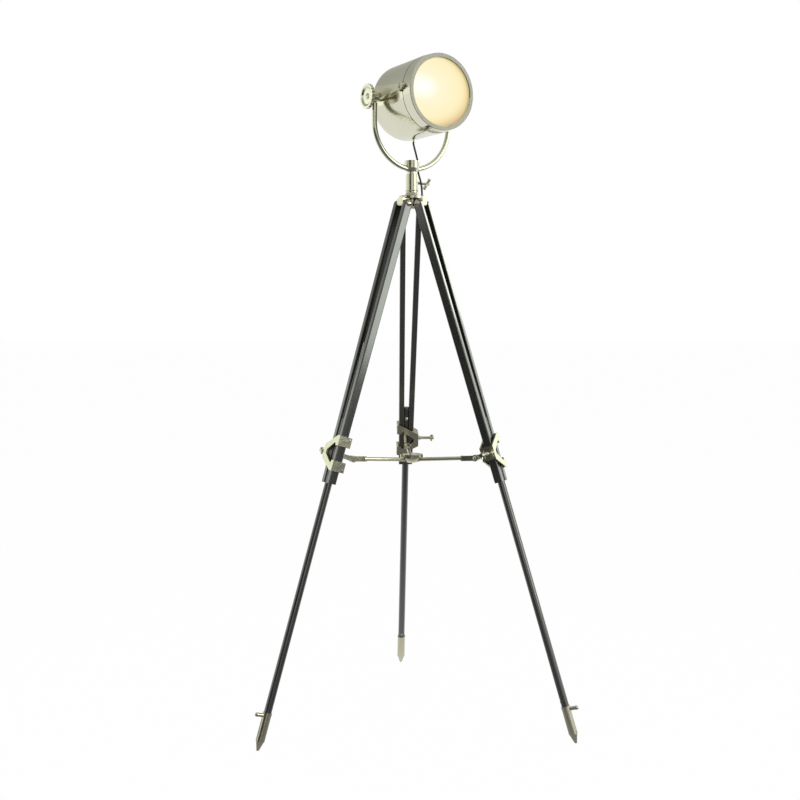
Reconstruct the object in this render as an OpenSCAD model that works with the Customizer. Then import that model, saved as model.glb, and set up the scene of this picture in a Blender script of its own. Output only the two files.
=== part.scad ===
// Tripod spotlight floor lamp: a tilting drum head in a tube yoke, on a hub with
// three twin-rail wooden legs, cast clamp brackets, sliding dowel feet and a
// folding spreader. Units are millimetres, +Z is up, the floor is z = 0.

/* [Stand] */
// Radius of the circle through the three foot tips
foot_circle_r = 455; // [380:1:520]
// Height of the leg pivots above the floor
hinge_h = 1346; // [1250:1:1400]
// Distance from the lamp's axis to each leg pivot
hinge_r = 28; // [28:0.5:32]
// Lamp axis measured from the middle of the footprint, towards the viewer
axis_y = -112.9; // [-140:0.1:-80]

/* [Wooden rails] */
// Width of a rail, measured around the lamp
rail_w = 14.5; // [12:0.5:15]
// Depth of a rail, measured outward from the lamp
rail_d = 22; // [20:0.5:22]
// Length of a rail from its pivot to its lower end
rail_len = 738; // [720:1:800]
// Clear space between the two rails at the pivot
rail_gap_top = 28; // [27:0.5:28.5]
// Clear space between the two rails at their lower end
rail_gap_low = 9.2; // [8:0.2:12]
// Rounding of the rails' long edges
rail_round = 3; // [1:0.5:4]

/* [Sliding feet] */
// Diameter of the sliding dowel
dowel_d = 19; // [16:0.5:20]
// Distance from the leg pivot to the top of the dowel
dowel_top = 567; // [480:1:590]
// Distance from the leg pivot to the stop stud
stud_at = 598.6; // [595:0.2:603]
// Diameter of the metal shoe
shoe_d = 22; // [21.4:0.2:25]
// Length of the metal shoe
shoe_len = 94; // [80:1:120]
// Length of the shoe's point
shoe_point = 23; // [15:1:30]
// How far the step peg stands out from the shoe
peg_out = 22; // [12:1:26]
// Diameter of the step peg
peg_d = 9.5; // [7:0.5:10]

/* [Clamp brackets] */
// Distance from the leg pivot to the middle of the bracket
clamp_at = 661; // [655:1:680]
// Half of the bracket's length along the leg
clamp_half = 45; // [42:0.5:50]
// Depth of the bracket, measured outward from the lamp
clamp_d = 37; // [36:0.5:40]
// Thickness of the bracket's two open frames
frame_t = 4; // [3:0.5:5]
// Thickness of the two pressure plates
plate_t = 5; // [4:0.5:7]
// Length of each pressure plate along the leg
plate_len = 26; // [18:0.5:27]
// Half of the screw boss's length along the leg
boss_half = 17.5; // [15:0.5:20]
// Distance from the leg's centre line to the outer face of the screw boss
boss_out = 34; // [33:0.5:38]
// Distance from the leg's centre line to the clamp screw's cross bar
cross_at = 73; // [66:0.5:80]

/* [Spreader] */
// How far the disc's pins hang below the knuckles
disc_sink = 12.84; // [8:0.02:20]
// Distance from the lamp's axis to the disc's pins
disc_pin_r = 20; // [19:0.5:22]
// Diameter of the disc
disc_d = 60; // [58:1:70]
// Diameter of a spreader bar
bar_d = 10; // [8:0.5:10.4]
// Distance from the leg's centre line in to the knuckle pin
knuckle_in = 49.3; // [48:0.1:52]
// How far below the bracket's middle the knuckle pin sits
knuckle_drop = 2.3; // [0:0.1:4]
// Length of the flat lapped end of a spreader bar
lap_len = 34; // [33:0.5:40]

/* [Hub] */
// Diameter of the hub's round plate
hub_d = 66; // [66:1:72]
// Thickness of the hub's round plate
hub_t = 8; // [6:0.5:10]
// Height from the leg pivots to the underside of the plate
hub_rise = 13.5; // [13:0.5:16]
// Diameter of the upright sleeve
sleeve_d = 31; // [28:0.5:33]
// Height of the sleeve above the plate
sleeve_len = 55.5; // [50:0.5:70]
// Diameter of the post that turns in the sleeve
post_d = 20; // [16:0.5:22]
// Direction of the lock screw around the axis
lock_turn = 43; // [36:1:60]

/* [Yoke] */
// Direction in which the lamp head faces, around the axis
head_turn = -61.55; // [-75:0.05:-50]
// Distance from the lamp's axis to the yoke tube's centre line
yoke_r = 111.6; // [111:0.2:120]
// Diameter of the yoke tube
yoke_tube_d = 13; // [11:0.5:13]
// Length of the yoke's straight arms below the tilt pivots
yoke_arm = 59.7; // [50:0.1:80]
// Height of the bare neck between the sleeve and the yoke's socket
neck_len = 5.6; // [5:0.1:12]
// Height of the yoke tube's lowest centre above the socket's underside
tube_rise = 7.1; // [6.8:0.1:9]
// Angle by which the head looks up
tilt_rest = 1; // [0:0.5:3]

/* [Lamp head] */
// Radius of the drum
drum_r = 95.4; // [94.9:0.1:95.6]
// Distance from the tilt pivots to the drum's back
drum_back = 62.8; // [60:0.1:70]
// Distance from the tilt pivots to the seam at the drum's front
drum_front = 106.8; // [106:0.1:112]
// Rounding where the drum's side meets its back
drum_round = 35.8; // [25:0.1:45]
// Wall thickness of the drum
drum_wall = 1.5; // [1:0.1:2]
// Length of the front bezel ring
bezel_len = 31.5; // [28:0.5:40]
// Outer radius of the bezel at the seam
bezel_r = 95.8; // [95.8:0.1:96.4]
// Width of the open groove between the drum and the bezel
seam_gap = 0.8; // [0.3:0.1:1.5]
// Outer radius of the bezel at its front face
bezel_front_r = 93.2; // [92.8:0.1:95]
// Radius of the front opening
front_hole_r = 82.5; // [76:0.5:84]
// Depth of the glass behind the bezel's front face
glass_back = 8; // [6:0.5:12]
// Thickness of the front glass
glass_t = 4; // [3:0.5:5]

/* [Tilt knobs] */
// Diameter of a tilt knob over its lobes
knob_d = 62; // [54:1:66]
// Thickness of a tilt knob at its rim
knob_t = 8; // [6:0.5:10]
// Number of lobes around a knob
knob_lobes = 20; // [14:1:24]
// Distance from the lamp's axis to the middle of the knob's rim
knob_at = 131.8; // [129:0.2:136]

/* [Cord] */
// Diameter of the cord
cord_d = 5; // [4:0.5:5]

/* [Hidden] */
$fn = 96;
// Overrun of every cut
cut = 1;
// Running clearance of pins, screws and shafts in their bores
run = 0.05;
// Clearance of seated and fixed pieces
seat = 0.3;
// Fine clearance where one fixed piece fills another
snug = 0.1;
// Facets of a round that is part of a hull
hull_fn = 32;
// Facets of a wide round on which a small piece sits
seat_fn = 360;

leg_turns = [210, 330, 90];
splay = atan((foot_circle_r - hinge_r) / hinge_h);
leg_len = sqrt(pow(foot_circle_r - hinge_r, 2) + pow(hinge_h, 2));
rail_lean = atan((rail_gap_top - rail_gap_low) / 2 / rail_len);
rail_top_r = rail_d / 2;
// Outer face of a rail at a distance from the pivot
function rail_out(s) = rail_gap_top / 2 - s * tan(rail_lean) + rail_w / cos(rail_lean);

// Leg bolts
bolt_r = 3;
bolt_head_r = 8.5;
bolt_head_t = 4;
bolt_slot_w = 1.6;
bolt_slot_t = 1.2;

// Hub
hub_low = hinge_h + hub_rise;
hub_top = hub_low + hub_t;
ear_r = 9;
ear_inner = 17;
core_r = 13;
core_drop = 6;
core_hole_r = 6;
plate_edge = 1.5;
flare_r = 18;
flare_len = 8.5;
collar_at = 12.5;
collar_r = 1.3;
sleeve_top = hub_top + sleeve_len;
socket_low = sleeve_top + neck_len;
yoke_low = socket_low + tube_rise + yoke_r;
tilt_h = yoke_low + yoke_arm;
sleeve_floor = 6;
post_gap = 2;
sleeve_lip = 1.2;

// Lock screw of the hub
lock_drop = 21;
lock_r = 3;
lock_out = 57;
lock_head_r = 4.8;
lock_head_len = 11;
lock_collar_r = 5.2;
lock_collar_len = 3;
lock_bar_r = 3.4;
lock_bar_end_r = 4.8;
lock_bar_len = 30;
lock_bar_lean = 41;
post_groove_r = 8.5;
post_groove_len = 10;

// Cable bush of the hub
bush_x = 26.5;
bush_y = 5;
bush_r = 5;
bush_t = 2.5;
bush_hole_r = 3.6;
bush_deep = 6;

// Yoke socket and post
socket_r = 19;
socket_len = 28.4;
socket_top = socket_low + socket_len;
socket_waist_r = 15.5;
socket_foot_r = 14;
socket_foot_len = 5;
dish_r = 14.5;
dish_deep = 5;
neck_r = 11;
neck_r2 = 12.5;
neck_gap = 0.4;
neck_step = 3;
guide_turn = 50;
guide_r = 25.6;
guide_rise = 12.4;
guide_len = 8;
guide_low = socket_low + guide_rise;
guide_high = guide_low + guide_len;
guide_outer_r = 5;
guide_wall = 4;

// Yoke tube and eyes
tube_r = yoke_tube_d / 2;
tube_wall = 1.5;
eye_r = 13;
eye_t = 7;
ferrule_r = 7.4;
ferrule_top = 11;
ferrule_low = 24;
spigot_low = 34;

// Tilt bolts, washers and knobs
tilt_bolt_r = 4;
washer_r = 10.7;
washer_t = 1.0;
washer_hole = 0.35;
knob_hub_r = 10.5;
knob_lobe_r = 4.3;
knob_rim = 3;
knob_dish = 3.5;
knob_cap_r = 8;
knob_cap_t = 2.4;
knob_seat = 0.3;
tilt_bolt_in = 8;

// Side arms
arm_boss_r = 17;
arm_shoulder = 103.6;
arm_neck_r = 10;
arm_face = 106.6;
arm_tip_r = 6;
arm_back = 1.8;
arm_at = drum_front - arm_back;
arm_up = 6;
arm_tip_out = 103.5;
arm_waist_r = 9;
arm_waist_x = 60;
arm_waist_out = 103.6;
arm_t = 7;
arm_inner = 88;
lobe_r = 5.2;
lobe_ring = 9.4;
lobe_out = 101.5;
arm_screw_r = 1.5;
arm_screw_head_r = 3.2;
arm_screw_head_t = 2;
arm_screw_end = 88;
arm_seat = 0.3;

// Bezel, glass and retainer
bezel_bore = 91.8;
bezel_lip = 2;
spigot_len = 4;
spigot_r = 93.5;
retainer_t = 4;
retainer_hole = 80;
bezel_step = 1.2;
front_end = drum_front + bezel_len;
glass_front = front_end - glass_back;

// Lamp holder and bulb
nipple_r = 5;
nipple_len = 22;
nut_r = 9;
nut_t = 4;
strap_w = 14;
strap_t = 2.5;
strap_len = 70;
holder_r = 19;
holder_len = 45;
holder_sunk = 16;
holder_x = drum_back - holder_sunk;
holder_wall = 3;
holder_lip = 2;
cap_r = 13;
cap_len = 24;
bulb_r = 30;
bulb_neck_r = 14;
bulb_neck_turn = 25;
bulb_len = 100;

// Clip on the bezel and gland on the drum
clip_turn = 22.4;
clip_w = 8;
clip_t = 2;
clip_from_seam = 0.6;
clip_x0 = drum_front + clip_from_seam;
clip_len = 19;
clip_screw_r = 2.6;
clip_screw_t = 1.4;
gland_x = 7.2;
gland_r = 5.6;
gland_t = 2;
gland_nut_r = 4.9;
gland_nut_t = 3;
gland_end_r = 3.6;
gland_end_t = 3;
gland_hole_r = 3;

// Clamp bracket
clamp_mid = clamp_d / 2;
plate_in = rail_out(clamp_at - clamp_half) + seat;
plate_out = plate_in + plate_t;
boss_in = rail_out(clamp_at - boss_half) + seat;
window_r = 4.5;
window_y = 10;
window_z = 21;
window_tip_y = -19;
tri_web = 9;
column_y0 = 0.15;
column_w = 7;
lug_half = 6;
lug_eye_r = 8.4;
lug_hole_r = 2.6;
recess = 21;
recess_deep = 2.5;
screw_r = 4;
screw_tip = 0.4;
screw_ring_r = 6.5;
screw_ring_t = 3;
screw_neck_r = 5;
screw_ring_gap = 0.5;
screw_bar_r = 3.2;
screw_bar_end_r = 4.4;
screw_bar_len = 17.6;
screw_head_r = 5.2;
screw_head_len = 11;
screw_bar_lean = -20;

// Spreader
lug_s = clamp_at + knuckle_drop;
lug_r = hinge_r + lug_s * sin(splay) - knuckle_in * cos(splay);
lug_z = hinge_h - lug_s * cos(splay) - knuckle_in * sin(splay);
disc_pin_h = lug_z - disc_sink;
bar_len = sqrt(pow(lug_r - disc_pin_r, 2) + pow(lug_z - disc_pin_h, 2));
bar_slope = atan((lug_z - disc_pin_h) / (lug_r - disc_pin_r));
bar_eye_r = 5.5;
bar_eye_half = 4.5;
pin_r = 2;
pin_half = 9;
lap_gap = 0.15;
lap_t = 7;
lap_half = 6.6;
collar_bar_r = 7;
collar_bar_len = 7;
knuckle_r = 2.5;
knuckle_head_r = 5.6;
knuckle_head_t = 3;
disc_low = 11;
disc_high = 12.5;
disc_ball_r = 34;
disc_rim_low = 4;
disc_dish_r = 24;
disc_dish = 4;
slot_floor = 6.6;
slot_in = 12;
slot_half = bar_d / 2 + seat;

// Feet
shoe_wall_top = leg_len - shoe_len;
shoe_collar = 6;
shoe_collar_out = 0.6;
shoe_collar_r = shoe_d / 2 + shoe_collar_out;
shoe_tip_r = 3;
shoe_over = 3;
shoe_floor = 34;
groove_w = 5;
groove_deep = 1;
groove_from = 18;
groove_to = 30;
peg_at = 8;
peg_base = 9.8;
peg_head_out = 0.5;
peg_head_r = peg_d / 2 + peg_head_out;
peg_head_t = 4;
dowel_round = 5;
stud_r = 2;
stud_deep = 4;
stud_head_r = 5;
stud_head_t = 3;

// Cord routes: places seen from the lamp's axis, heights above the hub's plate
upper_route = [
  [3.4, -6.1, 136], [3.6, -5.6, 131.5], [5.6, -1.6, 124.5], [10.4, 8.6, 110.5],
  [14.8, 17.0, 96.5], [16.3, 19.4, 87.5], [16.45, 19.6, 81.5]];
lower_route = [
  [16.45, 19.6, 73.5], [16.7, 19.4, 68.5], [18.6, 16.2, 57.5], [22.2, 10.6, 43.5],
  [25.0, 6.7, 27.5], [26.3, 5.1, 12.5], [26.5, 5.0, 2.5]];
cord_sides = 10;
cord_rings = 5;

// Frames of reference

module on_axis() translate([0, axis_y, 0]) children();

module on_leg(i) {
  on_axis()
    rotate([0, 0, leg_turns[i]])
      translate([hinge_r, 0, hinge_h])
        rotate([0, -splay, 0])
          children();
}

module on_clamp(i) on_leg(i) translate([0, 0, -clamp_at]) children();

module on_bar(i) {
  on_axis()
    rotate([0, 0, leg_turns[i]])
      translate([disc_pin_r, 0, disc_pin_h])
        rotate([0, -bar_slope, 0])
          children();
}

module on_yoke() on_axis() rotate([0, 0, head_turn]) children();

module on_head() on_yoke() translate([0, 0, tilt_h]) rotate([0, -tilt_rest, 0]) children();

// A round bar along Y, from y0 to y1
module rod_y(r, y0, y1) {
  translate([0, y0, 0])
    rotate([-90, 0, 0])
      cylinder(r = r, h = y1 - y0);
}

// A round bar along X, from x0 to x1
module rod_x(r, x0, x1) {
  translate([x0, 0, 0])
    rotate([0, 90, 0])
      cylinder(r = r, h = x1 - x0);
}

// A domed screw head whose flat face lies at the origin and whose dome points up
module dome_head(r, t) {
  ball = (r * r + t * t) / (2 * t);
  intersection() {
    translate([0, 0, t - ball])
      sphere(r = ball);
    cylinder(r = r, h = t);
  }
}

// A flat rectangle with true round corners, centred
module round_rect(w, d, r) {
  square([w - 2 * r, d], center = true);
  square([w, d - 2 * r], center = true);
  for (sx = [-1, 1], sy = [-1, 1])
    translate([sx * (w / 2 - r), sy * (d / 2 - r)])
      circle(r = r);
}

// Hub

module hub_casting() {
  color("#cfcfc2")
    on_axis()
      difference() {
        union() {
          hub_plate();
          hub_sleeve();
          for (turn = leg_turns)
            rotate([0, 0, turn])
              hub_ear();
          translate([0, 0, hinge_h - core_drop])
            cylinder(r = core_r, h = hub_rise + core_drop + cut);
        }
        translate([0, 0, hub_top + sleeve_floor])
          cylinder(r = post_d / 2 + run, h = sleeve_len);
        translate([0, 0, hinge_h - core_drop - cut])
          cylinder(r = core_hole_r, h = hub_rise + core_drop + hub_t);
        for (turn = leg_turns)
          rotate([0, 0, turn])
            translate([hinge_r, 0, hinge_h])
              rod_y(bolt_r + seat, -rail_gap_top, rail_gap_top);
        rotate([0, 0, lock_turn])
          translate([0, 0, sleeve_top - lock_drop])
            rod_x(lock_r + run, 0, sleeve_d);
        translate([bush_x, bush_y, hub_top - bush_deep])
          cylinder(r = bush_hole_r + snug, h = bush_deep + cut);
      }
}

module hub_plate() {
  translate([0, 0, hub_low])
    rotate_extrude()
      difference() {
        union() {
          square([hub_d / 2 - plate_edge, hub_t]);
          translate([0, plate_edge])
            square([hub_d / 2, hub_t - 2 * plate_edge]);
          for (z = [plate_edge, hub_t - plate_edge])
            translate([hub_d / 2 - plate_edge, z])
              circle(r = plate_edge);
        }
        translate([-hub_d, 0])
          square([hub_d, hub_t]);
      }
}

module hub_sleeve() {
  translate([0, 0, hub_top - cut])
    cylinder(r = sleeve_d / 2, h = sleeve_len + cut - sleeve_lip);
  translate([0, 0, sleeve_top - sleeve_lip])
    cylinder(r1 = sleeve_d / 2, r2 = sleeve_d / 2 - sleeve_lip, h = sleeve_lip);
  translate([0, 0, hub_top])
    cylinder(r1 = flare_r, r2 = sleeve_d / 2, h = flare_len);
  translate([0, 0, hub_top + collar_at])
    rotate_extrude()
      translate([sleeve_d / 2, 0])
        circle(r = collar_r);
}

// The cheek that stands between the two rails of a leg
module hub_ear() {
  half = rail_gap_top / 2 - seat - (hub_rise + rail_top_r) * tan(rail_lean);
  translate([hinge_r, 0, hinge_h])
    rod_y(ear_r, -half, half);
  translate([ear_inner, -half, hinge_h])
    cube([hinge_r + ear_r - ear_inner, 2 * half, hub_rise + cut]);
}

module cross_bar(r, end_r, len) {
  for (end = [0 : 1])
    mirror([0, 0, end])
      cylinder(r1 = r, r2 = end_r, h = len / 2);
}

module hub_lock_screw() {
  color("#cfcfc2")
    on_axis()
      rotate([0, 0, lock_turn])
        translate([0, 0, sleeve_top - lock_drop]) {
          rod_x(lock_r, post_groove_r + seat, lock_out);
          rod_x(lock_collar_r, sleeve_d / 2 + seat, sleeve_d / 2 + seat + lock_collar_len);
          rod_x(lock_head_r, lock_out - lock_head_len / 2, lock_out + lock_head_len / 2);
          translate([lock_out, 0, 0])
            rotate([lock_bar_lean, 0, 0])
              cross_bar(lock_bar_r, lock_bar_end_r, lock_bar_len);
        }
}

module leg_bolts() {
  color("#d8d8cc")
    for (i = [0 : 2])
      on_axis()
        rotate([0, 0, leg_turns[i]])
          translate([hinge_r, 0, hinge_h])
            leg_bolt();
}

module leg_bolt() {
  face = rail_out(0) + seat;
  rod_y(bolt_r, -face, face);
  for (side = [-1, 1])
    difference() {
      translate([0, side * face, 0])
        rotate([-side * 90, 0, 0])
          dome_head(bolt_head_r, bolt_head_t);
      translate([0, side * (face + bolt_head_t), 0])
        cube([2 * bolt_head_r, 2 * bolt_slot_t, bolt_slot_w], center = true);
    }
}

module cable_bush() {
  color("#202020")
    on_axis()
      translate([bush_x, bush_y, hub_top]) {
        difference() {
          union() {
            cylinder(r = bush_r, h = bush_t);
            translate([0, 0, -bush_deep])
              cylinder(r = bush_hole_r, h = bush_deep + bush_t);
          }
          translate([0, 0, -bush_deep - cut])
            cylinder(r = cord_d / 2 + snug, h = bush_deep);
        }
      }
}

// Legs

module rail(i, side) {
  face = side * (rail_gap_top / 2 + rail_w / 2);
  color("#26261f")
    on_leg(i)
      difference() {
        translate([0, side * rail_gap_top / 2, 0])
          rotate([side * -rail_lean, 0, 0])
            translate([0, side * rail_w / 2, 0]) {
              translate([0, 0, -rail_len])
                linear_extrude(rail_len)
                  round_rect(rail_d, rail_w, rail_round);
              rotate([90, 0, 0])
                rotate_extrude()
                  intersection() {
                    round_rect(rail_d, rail_w, rail_round);
                    translate([0, -rail_w])
                      square([rail_d, 2 * rail_w]);
                  }
            }
        rod_y(bolt_r + run, -2 * abs(face), 2 * abs(face));
        translate([0, 0, -rail_len - cut])
          cylinder(r = dowel_d / 2 + seat, h = rail_len);
      }
}

module rail_left_plate() rail(0, 1);
module rail_left_screw() rail(0, -1);
module rail_right_plate() rail(1, 1);
module rail_right_screw() rail(1, -1);
module rail_rear_plate() rail(2, 1);
module rail_rear_screw() rail(2, -1);

// One open side frame of the bracket: arms run from the plates to the screw boss
module clamp_frame_outline() {
  difference() {
    polygon([[plate_out, clamp_half], [plate_in - plate_t, clamp_half], [-boss_out, boss_half],
      [-boss_out, -boss_half], [plate_in - plate_t, -clamp_half], [plate_out, -clamp_half],
      [plate_out, plate_len - clamp_half], [plate_in - tri_web, plate_len - clamp_half],
      [plate_in - tri_web, clamp_half - plate_len], [plate_out, clamp_half - plate_len]]);
    hull() {
      for (side = [-1, 1])
        translate([window_y, side * window_z])
          circle(r = window_r, $fn = hull_fn);
      translate([window_tip_y, 0])
        circle(r = window_r, $fn = hull_fn);
    }
  }
}

module clamp_bracket(i) {
  color("#d2d2c6")
    on_clamp(i)
      difference() {
        union() {
          for (x = [-clamp_mid, clamp_mid - frame_t])
            translate([x, 0, 0])
              rotate([90, 0, 90])
                linear_extrude(frame_t)
                  clamp_frame_outline();
          for (z = [-clamp_half, clamp_half - plate_len])
            translate([-clamp_mid, plate_in, z])
              cube([clamp_d, plate_t, plate_len]);
          translate([-clamp_mid, -boss_out, -boss_half])
            cube([clamp_d, boss_out - boss_in, 2 * boss_half]);
          clamp_lug();
        }
        rod_y(screw_r + run, -boss_out - cut, 0);
        translate([-recess / 2, -boss_out - cut, -recess / 2])
          cube([recess, recess_deep + cut, recess]);
        translate([-knuckle_in, 0, -knuckle_drop])
          rod_y(lug_hole_r, -column_w, 2 * column_w);
      }
}

// The lug that carries the spreader bar's knuckle
module clamp_lug() {
  reach = knuckle_in - clamp_mid + frame_t;
  translate([-clamp_mid, column_y0, -window_z - window_r])
    cube([frame_t, column_w, 2 * (window_z + window_r)]);
  translate([-knuckle_in, column_y0, -knuckle_drop - lug_half])
    cube([reach, column_w, 2 * lug_half]);
  translate([-knuckle_in, 0, -knuckle_drop])
    rod_y(lug_eye_r, column_y0, column_y0 + column_w);
}

module clamp_bracket_left() clamp_bracket(0);
module clamp_bracket_right() clamp_bracket(1);
module clamp_bracket_rear() clamp_bracket(2);

module clamp_screw(i) {
  ring = boss_out - recess_deep + screw_ring_gap;
  color("#d8d8cc")
    on_clamp(i)
      rotate([0, 0, 180]) {
        rod_y(screw_r, boss_in - seat + screw_tip, cross_at);
        rod_y(screw_ring_r, ring, ring + screw_ring_t);
        rod_y(screw_neck_r, ring + screw_ring_t, ring + 2 * screw_ring_t);
        rod_y(screw_ring_r, ring + 2 * screw_ring_t, ring + 3 * screw_ring_t);
        rod_y(screw_head_r, cross_at - screw_head_len / 2, cross_at + screw_head_len / 2);
        translate([0, cross_at, 0])
          rotate([0, screw_bar_lean, 0])
            cross_bar(screw_bar_r, screw_bar_end_r, screw_bar_len);
      }
}

module clamp_screw_left() clamp_screw(0);
module clamp_screw_right() clamp_screw(1);
module clamp_screw_rear() clamp_screw(2);

// Sliding feet

module dowel(i) {
  bottom = leg_len - shoe_floor;
  length = bottom - dowel_top;
  color("#1c1c18")
    on_leg(i)
      difference() {
        translate([0, 0, -bottom])
          rotate_extrude()
            intersection() {
              union() {
                square([dowel_d / 2, length - dowel_round]);
                square([dowel_d / 2 - dowel_round, length]);
                translate([dowel_d / 2 - dowel_round, length - dowel_round])
                  circle(r = dowel_round);
              }
              square([dowel_d / 2, length]);
            }
        translate([0, 0, -stud_at])
          rod_x(stud_r + snug, -dowel_d, -dowel_d / 2 + stud_deep);
      }
}

module dowel_left() dowel(0);
module dowel_right() dowel(1);
module dowel_rear() dowel(2);

module stop_stud(i) {
  color("#26261f")
    on_leg(i)
      translate([-dowel_d / 2 - snug, 0, -stud_at]) {
        rod_x(stud_r, -snug, stud_deep);
        rotate([0, -90, 0])
          dome_head(stud_head_r, stud_head_t);
      }
}

module stop_stud_left() stop_stud(0);
module stop_stud_right() stop_stud(1);
module stop_stud_rear() stop_stud(2);

module shoe(i) {
  color("#d2d2c6")
    difference() {
      on_leg(i)
        difference() {
          translate([0, 0, -leg_len])
            rotate_extrude()
              polygon([[0, -shoe_over], [shoe_tip_r, -shoe_over], [shoe_tip_r, 0],
                [shoe_d / 2 - shoe_tip_r / 2, shoe_point - shoe_tip_r / 2],
                [shoe_d / 2, shoe_point], [shoe_d / 2, shoe_len - shoe_collar],
                [shoe_collar_r, shoe_len - shoe_collar], [shoe_collar_r, shoe_len],
                [0, shoe_len]]);
          translate([0, 0, -leg_len + shoe_floor])
            cylinder(r = dowel_d / 2 + snug, h = shoe_len);
          translate([0, 0, -shoe_wall_top - peg_at])
            rod_x(peg_d / 2 + snug, peg_base, 2 * shoe_d);
          translate([shoe_d / 2 + groove_w / 2 - groove_deep, 0, -leg_len + groove_to])
            cylinder(r = groove_w / 2, h = shoe_len - groove_from - groove_to);
        }
      translate([-2 * foot_circle_r, -2 * foot_circle_r, -shoe_len])
        cube([4 * foot_circle_r, 4 * foot_circle_r, shoe_len]);
    }
}

module shoe_left() shoe(0);
module shoe_right() shoe(1);
module shoe_rear() shoe(2);

module step_peg(i) {
  top = shoe_d / 2 + peg_out;
  color("#d8d8cc")
    on_leg(i)
      translate([0, 0, -shoe_wall_top - peg_at]) {
        rod_x(peg_d / 2, peg_base + snug, top - peg_head_t);
        rod_x(peg_head_r, top - 2 * peg_head_t, top - peg_head_t);
        translate([top - peg_head_t, 0, 0])
          rotate([0, 90, 0])
            dome_head(peg_head_r, peg_head_t);
      }
}

module step_peg_left() step_peg(0);
module step_peg_right() step_peg(1);
module step_peg_rear() step_peg(2);

// Spreader

module spreader_bar(i) {
  color("#d2d2c6")
    on_bar(i)
      difference() {
        union() {
          rod_y(bar_eye_r, -bar_eye_half, bar_eye_half);
          rod_x(bar_d / 2, bar_eye_r / 2, bar_len - lap_len - collar_bar_len / 2);
          rod_x(collar_bar_r, bar_len - lap_len - collar_bar_len, bar_len - lap_len);
          translate([bar_len - lap_len - collar_bar_len / 2, -lap_gap - lap_t, -lap_half])
            cube([lap_len + collar_bar_len / 2, lap_t, 2 * lap_half]);
          translate([bar_len, 0, 0])
            rod_y(lug_eye_r, -lap_gap - lap_t, -lap_gap);
        }
        rod_y(pin_r + run, -bar_d, bar_d);
        translate([bar_len, 0, 0])
          rod_y(knuckle_r + snug, -2 * lap_t, lap_t);
      }
}

module spreader_bar_left() spreader_bar(0);
module spreader_bar_right() spreader_bar(1);
module spreader_bar_rear() spreader_bar(2);

module knuckle_screw(i) {
  color("#d8d8cc")
    on_bar(i)
      translate([bar_len, -lap_gap - lap_t, 0]) {
        rod_y(knuckle_r, 0, lap_t);
        rotate([90, 0, 0])
          dome_head(knuckle_head_r, knuckle_head_t);
      }
}

module knuckle_screw_left() knuckle_screw(0);
module knuckle_screw_right() knuckle_screw(1);
module knuckle_screw_rear() knuckle_screw(2);

module spreader_disc() {
  color("#d2d2c6")
    on_axis()
      translate([0, 0, disc_pin_h])
        difference() {
          rotate_extrude()
            intersection() {
              union() {
                translate([0, disc_ball_r - disc_low])
                  circle(r = disc_ball_r);
                translate([0, disc_rim_low])
                  square([disc_d / 2, disc_high - disc_rim_low]);
              }
              difference() {
                translate([0, -disc_low])
                  square([disc_d / 2, disc_low + disc_high]);
                polygon([[0, disc_high - disc_dish], [disc_dish_r - disc_dish, disc_high - disc_dish],
                  [disc_dish_r, disc_high], [disc_dish_r, disc_high + cut], [0, disc_high + cut]]);
              }
            }
          for (turn = leg_turns)
            rotate([0, 0, turn]) {
              translate([slot_in, -slot_half, -slot_floor])
                cube([disc_d, 2 * slot_half, 2 * disc_d]);
              translate([disc_pin_r, 0, 0])
                rod_y(pin_r + run, -pin_half - snug, pin_half + snug);
            }
        }
}

module spreader_pins() {
  color("#d8d8cc")
    on_axis()
      for (turn = leg_turns)
        rotate([0, 0, turn])
          translate([disc_pin_r, 0, disc_pin_h])
            rod_y(pin_r, -pin_half, pin_half);
}

// Yoke

module yoke_path(r) {
  translate([0, 0, yoke_low])
    rotate([90, 180, 90])
      rotate_extrude(angle = 180)
        translate([yoke_r, 0])
          circle(r = r);
}

module yoke_tube() {
  color("#d2d2c6")
    on_yoke()
      difference() {
        union() {
          yoke_path(tube_r);
          yoke_arms(tube_r, ferrule_low - tube_wall);
        }
        yoke_path(tube_r - tube_wall);
        yoke_arms(tube_r - tube_wall, 0);
      }
}

// The straight arms, up to a distance below the tilt pivots
module yoke_arms(r, below) {
  for (side = [-1, 1])
    translate([0, side * yoke_r, yoke_low])
      cylinder(r = r, h = yoke_arm - below);
}

module yoke_eyes() {
  color("#d8d8cc")
    on_yoke()
      for (side = [-1, 1])
        translate([0, side * yoke_r, tilt_h])
          difference() {
            union() {
              rod_y(eye_r, -eye_t / 2, eye_t / 2);
              translate([0, 0, -ferrule_low + tube_wall])
                cylinder(r = ferrule_r, h = ferrule_low - ferrule_top - tube_wall - eye_t / 2);
              translate([0, 0, -ferrule_top - eye_t / 2])
                cylinder(r1 = ferrule_r, r2 = eye_t / 2, h = eye_t / 2);
              translate([0, 0, -spigot_low])
                cylinder(r = tube_r - tube_wall - snug, h = spigot_low - ferrule_top);
            }
            rod_y(tilt_bolt_r + run, -eye_t, eye_t);
          }
}

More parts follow.
